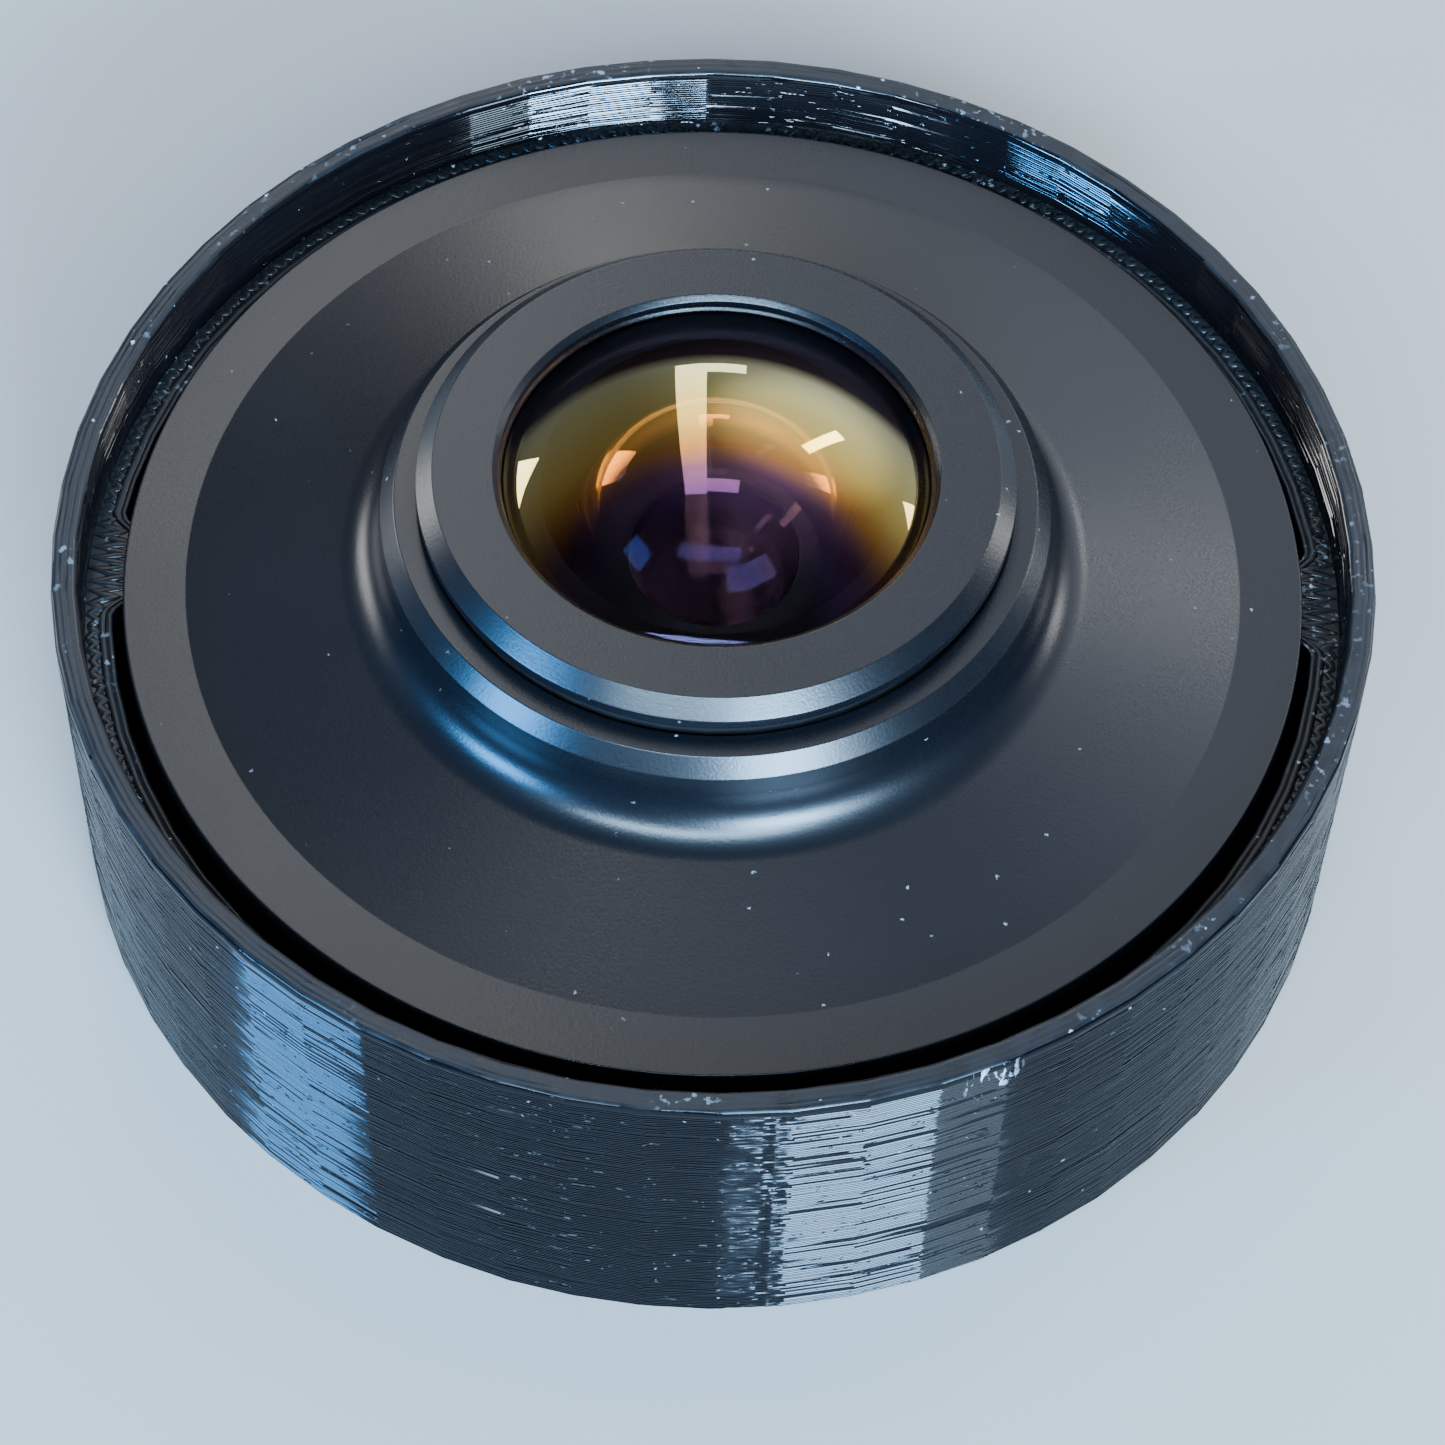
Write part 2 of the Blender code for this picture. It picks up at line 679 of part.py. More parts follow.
def rear_retaining_ring(body, metal):
    """The threaded ring behind the rear lens, with two slots for a pin spanner."""
    ring = stack_ring("rear_retaining_ring", *REAR_RETAINER)
    half_slot = Vector((STACK_R + CUT_THROUGH, SPANNER_SLOT_WIDTH / 2, SPANNER_SLOT_DEPTH))
    slot = block("spanner_slot", -half_slot, half_slot)
    slot.location.z = REAR_RETAINER[1]
    cut(ring, slot)
    finish(ring, body, metal)


clear_scene()
parts = collection("dome_lens_unit")
cutters = collection("cutters")

black_plastic = principled("black_printed_plastic", (0.012, 0.012, 0.014), 0.32)
anodised = principled("black_anodised", (0.030, 0.032, 0.037), 0.50, 0.6)
inner_black = principled("matte_black_inner", (0.012, 0.012, 0.012), 0.70, 0.3)
coated_glass = principled("coated_glass", (0.16, 0.11, 0.18), 0.04)
black_rubber = principled("black_rubber", (0.015, 0.015, 0.015), 0.80)
bright_steel = principled("steel", (0.55, 0.55, 0.56), 0.30, 1.0)
slide_plastic = principled("slide_plastic", (0.75, 0.75, 0.72), 0.45)

cup_body = body_axis("cup_axis")
housing_body = body_axis("housing_axis")
focus_body = body_axis("focus_axis")
cell_body = body_axis("cell_axis")

printed_cup(cup_body, black_plastic)
front_housing(housing_body, anodised)
hub_seal(housing_body, black_rubber)
rear_barrel(housing_body, inner_black)
barrel_seal(housing_body, black_rubber)
barrel_screws(housing_body, bright_steel)
thrust_washer(housing_body, slide_plastic)
retainer_height = ring_retainer(housing_body, inner_black)
grub_screw(housing_body, bright_steel, retainer_height)
focus_ring(focus_body, inner_black)
focus_grip(focus_body, black_rubber)
lens_barrel(cell_body, inner_black)
guide_pins(cell_body, bright_steel)
front_bezel(cell_body, anodised)
glass_stack(cell_body, coated_glass, inner_black, black_rubber)
rear_retaining_ring(cell_body, inner_black)
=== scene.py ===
"""Looks of the dome lens unit in its printed stand cup: fine meshes, materials, light and camera.

Metres, +Z up, in the CAD model's frame. Every turned piece shares the Z axis; the camera looks
from the -Y side.
"""

import math
import random
from collections import namedtuple

import bpy
import numpy as np
from mathutils import Matrix, Vector


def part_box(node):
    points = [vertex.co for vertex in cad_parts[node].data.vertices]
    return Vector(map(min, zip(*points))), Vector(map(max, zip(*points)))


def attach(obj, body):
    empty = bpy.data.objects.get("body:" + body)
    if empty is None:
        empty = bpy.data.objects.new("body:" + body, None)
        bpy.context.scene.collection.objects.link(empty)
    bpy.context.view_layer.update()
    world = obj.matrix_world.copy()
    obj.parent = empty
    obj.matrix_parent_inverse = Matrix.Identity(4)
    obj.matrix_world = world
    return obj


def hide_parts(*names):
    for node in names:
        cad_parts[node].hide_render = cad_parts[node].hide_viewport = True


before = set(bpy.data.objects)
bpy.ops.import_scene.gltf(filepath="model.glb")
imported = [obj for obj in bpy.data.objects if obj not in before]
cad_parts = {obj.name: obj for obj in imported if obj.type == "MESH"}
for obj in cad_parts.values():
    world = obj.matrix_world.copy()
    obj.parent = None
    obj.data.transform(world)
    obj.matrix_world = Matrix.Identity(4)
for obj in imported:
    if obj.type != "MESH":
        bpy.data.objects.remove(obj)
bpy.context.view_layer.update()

MM = 0.001

# Stand cup, from its CAD box and the printer's settings
CUP_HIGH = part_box("printed_cup")[1]
CUP_R = CUP_HIGH[0]
CUP_H = CUP_HIGH[2]
RIM_IN_R = CUP_R - 1.6 * MM
LEDGE_Z = 18.8 * MM
WELL_R = CUP_R - 3.4 * MM
RIB_IN_R = CUP_R - 5.5 * MM
FLOOR_Z = 2.0 * MM
RIB_COUNT = 4
RIB_HALF_WIDTH = 1.9 * MM
RIB_FLAT_HALF = RIB_HALF_WIDTH - 0.4 * MM
RIB_ROOT = 2.2 * MM
ZIGZAG_PITCH = 0.87 * MM
INFILL_R = 0.29 * MM
INFILL_FLATTENING = 0.40
INFILL_Z = LEDGE_Z - 0.13 * MM
TOP_FACE = 1
INNER_FACE = 2

# One printed layer: (share of its height, depth of the wall there in mm)
LAYER = 0.2 * MM
OUTER_BEAD = ((0.0, 0.088), (0.12, 0.009), (0.56, 0.009))
RIM_BEAD = ((0.0, 0.104), (0.12, 0.010), (0.40, 0.010), (0.68, 0.045))
WELL_BEAD = ((0.0, 0.060), (0.5, 0.0))
GROOVE_DEPTH = 0.03
LAYER_SHIFT = 0.0045 * MM
BAD_LAYER_SHIFT = 0.022 * MM
BAD_LAYER_SHARE = 0.30

# Edges and lines of the rim and the ledge: (distance inwards, drop) in mm
FOOT_EDGE = ((0.35, 0.0), (0.12, 0.04))
RIM_OUTER_EDGE = ((0.01, 0.38), (0.03, 0.24), (0.09, 0.13), (0.18, 0.06), (0.30, 0.02))
RIM_LINES = ((0.40, 0.0), (0.52, 0.035), (0.64, 0.0), (0.80, 0.0), (0.94, 0.035), (1.06, 0.0))
RIM_INNER_EDGE = ((1.22, 0.01), (1.36, 0.05), (1.47, 0.13), (1.54, 0.24), (1.58, 0.36))
RIM_ROUND = 0.4 * MM
LEDGE_LINES = ((0.98, 0.14), (0.86, 0.03), (0.72, 0.0), (0.55, 0.02), (0.46, 0.07), (0.37, 0.02))
WELL_EDGE = ((0.24, 0.0), (0.10, 0.04), (0.02, 0.14))
RIM_WANDER = 0.018 * MM
RIM_DIP = 0.012 * MM
LEDGE_WANDER = 0.015 * MM

# The print is a polygon of flat facets
FACETS = 60
FACET = math.tau / FACETS
FACET_START = math.radians(2.0)
FACET_BEND = math.radians(0.25)
FACET_JITTER = 0.012 * MM
RINGING_START = 1.5 * math.pi + FACET_START
RINGING_POINTS = 8
RINGING = 0.012 * MM
ANGLE_GAP = 0.002

# Lens unit, from the CAD boxes
HOUSING_LOW, HOUSING_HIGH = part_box("front_housing")
BEZEL_LOW, BEZEL_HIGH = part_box("front_bezel_ring")
LENS_LOW, LENS_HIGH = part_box("front_lens")
SECOND_LOW, SECOND_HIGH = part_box("second_lens")
FLANGE_R = HOUSING_HIGH[0]
HUB_TOP_Z = HOUSING_HIGH[2]
BOSS_Z = HOUSING_LOW[2]
BORE_R = 17.6 * MM
BEZEL_R = BEZEL_HIGH[0]
BEZEL_TOP_Z = BEZEL_HIGH[2]

# A lens: its edge, then the clear radius, height and curve of its front and of its rear face.
# A negative rear curve is hollow.
Lens = namedtuple("Lens", "edge_r front_r front_z front_curve rear_r rear_z rear_curve")
DOME = Lens(LENS_HIGH[0], 13.2 * MM, 28.84 * MM, 19.5 * MM, 9.0 * MM, LENS_LOW[2], -10.5 * MM)
SECOND = Lens(SECOND_HIGH[0], 11.2 * MM, 22.3 * MM, 45.0 * MM, 11.2 * MM, SECOND_LOW[2], -25.0 * MM)
EDGE_BEVEL_START_R = 12.7 * MM
EDGE_BEVEL_END_R = 12.9 * MM
EDGE_BEVEL_TILT = 0.3

TURN_STEPS = 256
LENS_STEPS = 192
SCUFF_ANGLE = math.radians(24.5)
SCUFF_PLACE = (CUP_R * math.sin(SCUFF_ANGLE), -CUP_R * math.cos(SCUFF_ANGLE), CUP_H - 1.2 * MM)

DUST = (0.42, 0.45, 0.50)
METAL_DUST = (0.42, 0.44, 0.48)
WALL_GLOSS = 0.17
INNER_WALL_GLOSS = 0.80
CLEAR_SHARE = 0.93
COATING_ROUGHNESS = 0.015
COATED_IOR = 1.7

LIGHT_TARGET = (0.0, 0.0, 0.02)
LIGHT_REACH = 1.3
GLOW_DIRECTION = (0.40, 0.66, 0.64)
FLOOR_HALF = 1.5
FLOOR_DROP = 0.1 * MM


# Mesh helpers

ZERO = np.zeros(1)
SLIGHT_BEND = math.radians(174.0)
LEAST_REACH = 0.03 * MM
GUARD = 0.08 * MM


def new_object(name, vertices, faces, material=None):
    mesh = bpy.data.meshes.new(name)
    mesh.from_pydata(vertices, [], faces)
    mesh.validate()
    mesh.update()
    obj = bpy.data.objects.new(name, mesh)
    bpy.context.scene.collection.objects.link(obj)
    if material:
        mesh.materials.append(material)
    mesh.shade_smooth()
    return obj


def swept(name, rows, angles, material, closed, sharp=32.0):
    """A skin through rows of radii and heights, one value per angle. A row of radius 0 is a pole.

    The rows run up the outer side and down the inner side, so the faces point outwards."""
    cos_a = np.cos(angles)
    sin_a = np.sin(angles)
    count = len(angles)
    vertices = []
    first = []
    for radius, height in rows:
        radius = np.broadcast_to(radius, count)
        height = np.broadcast_to(height, count)
        first.append(len(vertices))
        if radius[0] == 0.0:
            vertices.append((0.0, 0.0, float(height[0])))
        else:
            vertices.extend(zip(radius * cos_a, radius * sin_a, height))
    pole = [rows[i][0] is ZERO for i in range(len(rows))]
    faces = []
    pairs = list(zip(range(len(rows)), list(range(1, len(rows))) + [0]))
    for a, b in pairs if closed else pairs[:-1]:
        for i in range(count):
            j = (i + 1) % count
            if pole[a]:
                faces.append((first[a], first[b] + j, first[b] + i))
            elif pole[b]:
                faces.append((first[a] + i, first[a] + j, first[b]))
            else:
                faces.append((first[a] + i, first[a] + j, first[b] + j, first[b] + i))
    obj = new_object(name, vertices, faces, material)
    obj.data.set_sharp_from_angle(angle=math.radians(sharp))
    return obj


def turned(name, profile, material, steps=TURN_STEPS, closed=True, sharp=32.0):
    """Turns (radius, height) points about Z. They run down the outer side, top to bottom."""
    rows = [(ZERO if r == 0.0 else np.array([r]), np.array([z])) for r, z in reversed(profile)]
    angles = np.linspace(0.0, math.tau, steps, endpoint=False)
    return swept(name, rows, angles, material, closed, sharp)


def softened(points, radius, steps=3):
    """A closed outline with each corner rounded to the radius, or to less where a side is short.

    A guard point on each long side keeps the shading flat up to the corner."""
    out = []
    count = len(points)
    for i, point in enumerate(points):
        corner = Vector(point)
        before = Vector(points[i - 1]) - corner
        after = Vector(points[(i + 1) % count]) - corner
        if before.length < 1e-9 or after.length < 1e-9:
            continue
        opening = before.angle(after)
        if opening > SLIGHT_BEND:
            out.append(tuple(corner))
            continue
        reach = max(radius / math.tan(opening / 2), LEAST_REACH)
        reach = min(reach, before.length * 0.45, after.length * 0.45)
        start = corner + before.normalized() * reach
        end = corner + after.normalized() * reach
        guard = reach + GUARD
        if before.length > 3.0 * guard:
            out.append(tuple(corner + before.normalized() * guard))
        for k in range(steps + 1):
            t = k / steps
            blend = start * (1 - t) ** 2 + corner * 2 * t * (1 - t) + end * t * t
            out.append(tuple(blend))
        if after.length > 3.0 * guard:
            out.append(tuple(corner + after.normalized() * guard))
    return out


def arc(centre, radius, start, end, steps):
    turn = (end - start) / steps
    angles = [start + turn * i for i in range(steps + 1)]
    return [(centre[0] + radius * math.cos(a), centre[1] + radius * math.sin(a)) for a in angles]


# Material helpers


class Graph:
    """A material's node tree, with short calls for the nodes that it needs."""

    def __init__(self, name):
        self.material = bpy.data.materials.new(name)
        self.material.use_nodes = True
        self.tree = self.material.node_tree
        self.shader = self.tree.nodes["Principled BSDF"]
        self.output = self.tree.nodes["Material Output"]
        self.place = self.node("ShaderNodeTexCoord").outputs["Object"]

    def node(self, kind, **settings):
        made = self.tree.nodes.new(kind)
        for key, value in settings.items():
            setattr(made, key, value)
        return made

    def feed(self, socket, value):
        if isinstance(value, bpy.types.NodeSocket):
            self.tree.links.new(value, socket)
        else:
            socket.default_value = value

    def math(self, operation, a, b=0.0, c=0.0):
        made = self.node("ShaderNodeMath", operation=operation)
        for socket, value in zip(made.inputs, (a, b, c)):
            self.feed(socket, value)
        return made.outputs[0]

    def stretch(self, factors):
        """The object's own coordinates, scaled along each axis."""
        made = self.node("ShaderNodeVectorMath", operation="MULTIPLY")
        self.feed(made.inputs[0], self.place)
        made.inputs[1].default_value = factors
        return made.outputs[0]

    def noise(self, scale, detail=3.0, vector=None, roughness=0.5):
        made = self.node("ShaderNodeTexNoise")
        self.feed(made.inputs["Vector"], vector or self.place)
        made.inputs["Scale"].default_value = scale
        made.inputs["Detail"].default_value = detail
        made.inputs["Roughness"].default_value = roughness
        return made.outputs["Fac"]

    def flecks(self, scale, radius, edge):
        """Sparse small flecks of uneven outline: 1 inside, 0 outside.

        radius and edge are shares of a cell of the pattern."""
        wander = self.node("ShaderNodeTexNoise")
        self.feed(wander.inputs["Vector"], self.place)
        wander.inputs["Scale"].default_value = scale * 9.0
        wander.inputs["Detail"].default_value = 2.0
        moved = self.node("ShaderNodeVectorMath", operation="MULTIPLY_ADD")
        self.feed(moved.inputs[0], wander.outputs["Color"])
        moved.inputs[1].default_value = (0.22 / scale,) * 3
        self.feed(moved.inputs[2], self.place)
        cells = self.node("ShaderNodeTexVoronoi")
        self.feed(cells.inputs["Vector"], moved.outputs[0])
        cells.inputs["Scale"].default_value = scale
        return self.fit(cells.outputs["Distance"], radius + edge, radius)

    def near(self, place, reach, edge):
        """1 within reach of a place, fading to 0 over the edge."""
        apart = self.node("ShaderNodeVectorMath", operation="DISTANCE")
        self.feed(apart.inputs[0], self.place)
        apart.inputs[1].default_value = place
        return self.fit(apart.outputs["Value"], reach + edge, reach)

    def fit(self, value, low, high, to_low=0.0, to_high=1.0):
        made = self.node("ShaderNodeMapRange")
        self.feed(made.inputs["Value"], value)
        for name, number in zip(("From Min", "From Max", "To Min", "To Max"), (low, high, to_low, to_high)):
            made.inputs[name].default_value = number
        return made.outputs["Result"]

    def mix(self, factor, a, b):
        """A colour between a and b."""
        made = self.node("ShaderNodeMix", data_type="RGBA")
        self.feed(made.inputs["Factor"], factor)
        for socket, value in ((made.inputs[6], a), (made.inputs[7], b)):
            self.feed(socket, value if isinstance(value, bpy.types.NodeSocket) else (*value, 1.0))
        return made.outputs[2]

    def bump(self, height, distance, strength=1.0, normal=None):
        made = self.node("ShaderNodeBump")
        made.inputs["Strength"].default_value = strength
        made.inputs["Distance"].default_value = distance
        self.feed(made.inputs["Height"], height)
        if normal:
            self.feed(made.inputs["Normal"], normal)
        return made.outputs["Normal"]

    def ramp(self, value, stops):
        made = self.node("ShaderNodeValToRGB")
        self.feed(made.inputs[0], value)
        elements = made.color_ramp.elements
        while len(elements) < len(stops):
            elements.new(0.5)
        for element, (position, colour) in zip(elements, stops):
            element.position = position
            element.color = (*colour, 1.0)
        return made.outputs["Color"]

    def finish(self, **sockets):
        """The material, with the shader's sockets fed: lower case names, underscores for spaces."""
        by_name = {socket.name.lower().replace(" ", "_"): socket for socket in self.shader.inputs}
        for name, value in sockets.items():
            if isinstance(value, tuple) and len(value) == 3:
                value = (*value, 1.0)
            self.feed(by_name[name], value)
        return self.material

    def turned_place(self):
        """Distance from the Z axis, and height."""
        split = self.node("ShaderNodeSeparateXYZ")
        self.feed(split.inputs[0], self.place)
        squares = [self.math("MULTIPLY", split.outputs[i], split.outputs[i]) for i in range(2)]
        return self.math("SQRT", self.math("ADD", *squares)), split.outputs[2]


# Materials


def printed_wall(name, gloss):
    """Glossy black filament: small dents and blobs in the layers, dust specks and a scuffed spot."""
    g = Graph(name)
    blotch = g.noise(300.0, 3.0)
    dents = g.fit(g.noise(1.0, 2.0, g.stretch((650.0, 650.0, 3600.0))), 0.64, 0.70)
    blobs = g.flecks(700.0, 0.05, 0.05)
    dust = g.math("MULTIPLY", g.flecks(520.0, 0.035, 0.03), g.fit(g.noise(60.0, 2.0), 0.47, 0.55))
    strokes = g.fit(g.noise(1.0, 3.0, g.stretch((2600.0, 2600.0, 800.0))), 0.57, 0.64)
    scuff = g.math("MULTIPLY", strokes, g.near(SCUFF_PLACE, 0.9 * MM, 1.2 * MM))
    light = g.math("MAXIMUM", g.math("MULTIPLY", dust, 0.35), g.math("MULTIPLY", scuff, 0.8))
    colour = g.mix(blotch, (0.0015, 0.0013, 0.0018), (0.003, 0.0026, 0.0034))
    colour = g.mix(light, colour, DUST)
    rough = g.math("ADD", g.fit(blotch, 0.3, 0.7, 0.05, 0.11), g.math("MULTIPLY", light, 0.4))
    normal = g.bump(dents, 0.02 * MM, 0.5)
    normal = g.bump(blobs, 0.04 * MM, 0.6, normal)
    normal = g.bump(blotch, 0.03 * MM, 0.25, normal)
    return g.finish(base_color=colour, roughness=rough, normal=normal, ior=1.45, specular_ior_level=gloss)


def printed_top():
    """The upper faces of the print: duller and rougher, with nicks along the lines."""
    g = Graph("printed_top")
    blotch = g.noise(700.0, 4.0)
    fine = g.noise(2600.0, 3.0)
    nicks = g.fit(g.noise(1900.0, 3.0), 0.60, 0.68)
    nicks = g.math("MULTIPLY", nicks, g.fit(g.noise(90.0, 2.0), 0.52, 0.62))
    dust = g.math("MULTIPLY", g.flecks(620.0, 0.06, 0.04), g.fit(g.noise(60.0, 2.0), 0.40, 0.52))
    light = g.math("MAXIMUM", g.math("MULTIPLY", dust, 0.8), g.math("MULTIPLY", nicks, 0.30))
    colour = g.mix(blotch, (0.004, 0.0043, 0.005), (0.011, 0.012, 0.014))
    colour = g.mix(light, colour, DUST)
    rough = g.fit(blotch, 0.3, 0.7, 0.24, 0.42)
    normal = g.bump(blotch, 0.04 * MM, 0.5)
    normal = g.bump(fine, 0.015 * MM, 0.4, normal)
    return g.finish(base_color=colour, roughness=rough, normal=normal, ior=1.45, specular_ior_level=0.32)


def anodised(name, turning_lines):
    """Finely blasted, black anodised aluminium with a little dust, and turning lines if asked."""
    g = Graph(name)
    grain = g.noise(5200.0, 2.0)
    cloud = g.noise(55.0, 3.0)
    dust = g.math("MULTIPLY", g.flecks(480.0, 0.030, 0.028), g.fit(g.noise(85.0, 2.0), 0.40, 0.52))
    mottle = g.noise(2400.0, 3.0, None, 0.7)
    tone = g.math("ADD", g.math("MULTIPLY", cloud, 0.4), g.math("MULTIPLY", mottle, 0.6))
    colour = g.mix(tone, (0.0012, 0.0014, 0.0021), (0.0038, 0.0043, 0.0060))
    colour = g.mix(g.math("MULTIPLY", dust, 0.45), colour, METAL_DUST)
    rough = g.fit(cloud, 0.3, 0.7, 0.24, 0.28)
    rough = g.math("ADD", rough, g.math("MULTIPLY", grain, 0.04))
    normal = g.bump(grain, 0.012 * MM, 0.55)
    if turning_lines:
        radius, height = g.turned_place()
        across = g.node("ShaderNodeCombineXYZ")
        g.feed(across.inputs[0], radius)
        g.feed(across.inputs[1], height)
        normal = g.bump(g.noise(9000.0, 3.0, across.outputs[0], 0.7), 0.02 * MM, 0.25, normal)
    return g.finish(base_color=colour, roughness=rough, normal=normal, specular_ior_level=0.39, ior=1.5)


def matte_black(name, roughness=0.6, colour=(0.012, 0.012, 0.013), metallic=0.3, gloss=0.5):
    g = Graph(name)
    grain = g.noise(3500.0, 2.0)
    cloud = g.noise(90.0, 3.0)
    tint = g.mix(cloud, colour, tuple(c * 1.5 for c in colour))
    rough = g.fit(cloud, 0.3, 0.7, roughness - 0.05, roughness + 0.05)
    normal = g.bump(grain, 0.01 * MM, 0.5)
    return g.finish(
        base_color=tint, roughness=rough, normal=normal, metallic=metallic, specular_ior_level=gloss
    )


def lens_coating(name, stops):
    """Coated glass. The tint of what it mirrors changes with the angle, by the given stops."""
    g = Graph(name)
    facing = g.node("ShaderNodeLayerWeight")
    facing.inputs["Blend"].default_value = 0.5
    tint = g.ramp(facing.outputs["Facing"], stops)
    mirror = g.node("ShaderNodeBsdfGlossy")
    g.feed(mirror.inputs["Color"], tint)
    mirror.inputs["Roughness"].default_value = COATING_ROUGHNESS
    clear = g.node("ShaderNodeBsdfRefraction")
    clear.inputs["Color"].default_value = (CLEAR_SHARE, CLEAR_SHARE, CLEAR_SHARE, 1.0)
    clear.inputs["IOR"].default_value = COATED_IOR
    clear.inputs["Roughness"].default_value = 0.0
    both = g.node("ShaderNodeAddShader")
    g.tree.links.new(mirror.outputs[0], both.inputs[0])
    g.tree.links.new(clear.outputs[0], both.inputs[1])
    g.tree.links.new(both.outputs[0], g.output.inputs["Surface"])
    return g.material


# Tints by angle, from 0 (seen straight on) to 1 (seen edge on)
FRONT_COATING = [
    (0.00, (0.006, 0.005, 0.009)),
    (0.05, (0.009, 0.005, 0.014)),
    (0.09, (0.056, 0.022, 0.088)),
    (0.135, (0.095, 0.038, 0.070)),
    (0.18, (0.260, 0.108, 0.024)),
    (0.25, (0.340, 0.225, 0.050)),
    (0.36, (0.360, 0.300, 0.115)),
    (0.44, (0.340, 0.315, 0.175)),
    (0.49, (0.024, 0.016, 0.020)),
    (0.70, (0.008, 0.005, 0.014)),
    (1.00, (0.050, 0.040, 0.060)),
]
REAR_COATING = [
    (0.00, (0.004, 0.002, 0.006)),
    (0.12, (0.010, 0.005, 0.006)),
    (0.15, (0.500, 0.140, 0.012)),
    (0.21, (0.850, 0.280, 0.025)),
    (0.45, (0.950, 0.430, 0.070)),
    (1.00, (0.900, 0.620, 0.250)),
]
INNER_COATING = [
    (0.00, (0.004, 0.002, 0.006)),
    (0.20, (0.010, 0.005, 0.005)),
    (0.50, (0.040, 0.022, 0.010)),
    (1.00, (0.300, 0.200, 0.100)),
]


def bare_metal(name, colour, roughness):
    g = Graph(name)
    grain = g.noise(2200.0, 3.0)
    rough = g.fit(grain, 0.3, 0.7, roughness - 0.06, roughness + 0.06)
    normal = g.bump(grain, 0.01 * MM, 0.3)
    return g.finish(base_color=colour, metallic=1.0, roughness=rough, normal=normal)


def floor_finish():
    g = Graph("pale_floor")
    cloud = g.noise(3.0, 4.0)
    colour = g.mix(cloud, (0.345, 0.300, 0.256), (0.373, 0.325, 0.280))
    return g.finish(base_color=colour, roughness=0.7)


# Stand cup


def well_radius(angle):
    """The well's wall, drawn in where an upright rib stands."""
    pitch = math.tau / RIB_COUNT
    offset = np.abs((angle + pitch / 2) % pitch - pitch / 2) * RIB_IN_R
    rise = np.clip((RIB_FLAT_HALF + RIB_ROOT - offset) / RIB_ROOT, 0.0, 1.0)
    return WELL_R - (WELL_R - RIB_IN_R) * rise * rise * (3.0 - 2.0 * rise)


def cup_angles():
    """Angles round the cup: each facet's ends, the ringing, and the curves at the ribs' roots."""
    angles = []
    for i in range(FACETS):
        corner = FACET_START + FACET * i
        angles += [corner - FACET_BEND, corner + FACET_BEND]
    angles += list(ringing_angles())
    low = RIB_FLAT_HALF / RIB_IN_R
    high = low + RIB_ROOT / RIB_IN_R
    for i in range(RIB_COUNT):
        middle = math.tau * i / RIB_COUNT
        root = np.linspace(low, high, 6)
        angles += list(middle + root) + list(middle - root)
    angles = np.unique(np.round(np.array(angles) % math.tau, 4))
    keep = np.append(np.diff(angles) > ANGLE_GAP, True)
    return angles[keep]


def ringing_angles():
    """Angles inside a front facet, which shows the ripples of a shaking nozzle."""
    return np.linspace(RINGING_START, RINGING_START + FACET, RINGING_POINTS + 2)[1:-1]


def ringing(angles):
    """1 and -1 in turn at the ringing angles, 0 elsewhere."""
    sign = np.zeros(len(angles))
    for i, angle in enumerate(ringing_angles()):
        sign[np.argmin(np.abs(angles - angle % math.tau))] = 1.0 - 2.0 * (i % 2)
    return sign


def faceted(radius, angles):
    """The wall's radius: the print is a polygon of flat facets with its corners on the circle."""
    offset = np.abs((angles - FACET_START) % FACET - FACET / 2)
    return radius * math.cos(FACET / 2) / np.cos(np.minimum(offset, FACET / 2 - FACET_BEND))


def near_corner(angles):
    """1 at the two angles beside each facet's corner, 0 elsewhere."""
    offset = (angles - FACET_START + FACET / 2) % FACET - FACET / 2
    return (np.abs(offset) < 1.5 * FACET_BEND).astype(float)


def wall_rows(radius, low, high, outward, angles, draw, bead, layer=LAYER):
    """Rows of a printed wall from low to high: each layer is a bead with a shift of its own."""
    layers = max(1, round((high - low) / layer))
    step = (high - low) / layers
    corners = near_corner(angles)
    shake = ringing(angles)
    rows = []
    for i in range(layers):
        wave = sum(
            draw.gauss(0.0, 0.6) * np.sin(angles * draw.randint(3, 30) + draw.uniform(0, math.tau))
            for _ in range(3)
        )
        shift = LAYER_SHIFT * (draw.gauss(0.0, 0.6) + wave)
        if draw.random() < BAD_LAYER_SHARE:
            place = draw.uniform(0, math.tau)
            reach = draw.uniform(0.08, 0.9)
            near = np.exp(-((((angles - place + math.pi) % math.tau) - math.pi) / reach) ** 2)
            shift = shift + BAD_LAYER_SHIFT * draw.uniform(-1.0, 0.6) * near
        jitter = np.array([draw.gauss(0.0, FACET_JITTER) for _ in angles]) * corners
        ripple = np.array([draw.gauss(0.0, 1.0) for _ in angles]) * np.abs(shake)
        jitter += RINGING * (shake + ripple)
        for rise, depth in bead:
            moved = shift + jitter if depth < GROOVE_DEPTH else 0.0
            rows.append((radius + outward * (moved - depth * MM), low + step * (i + rise)))
    return rows


def wavy(size, angles, draw):
    """A small smooth wander round the axis."""
    return sum(
        size * draw.gauss(0.0, 0.5) * np.sin(angles * k + draw.uniform(0, math.tau))
        for k in (5, 9, 14, 23, 37)
    )


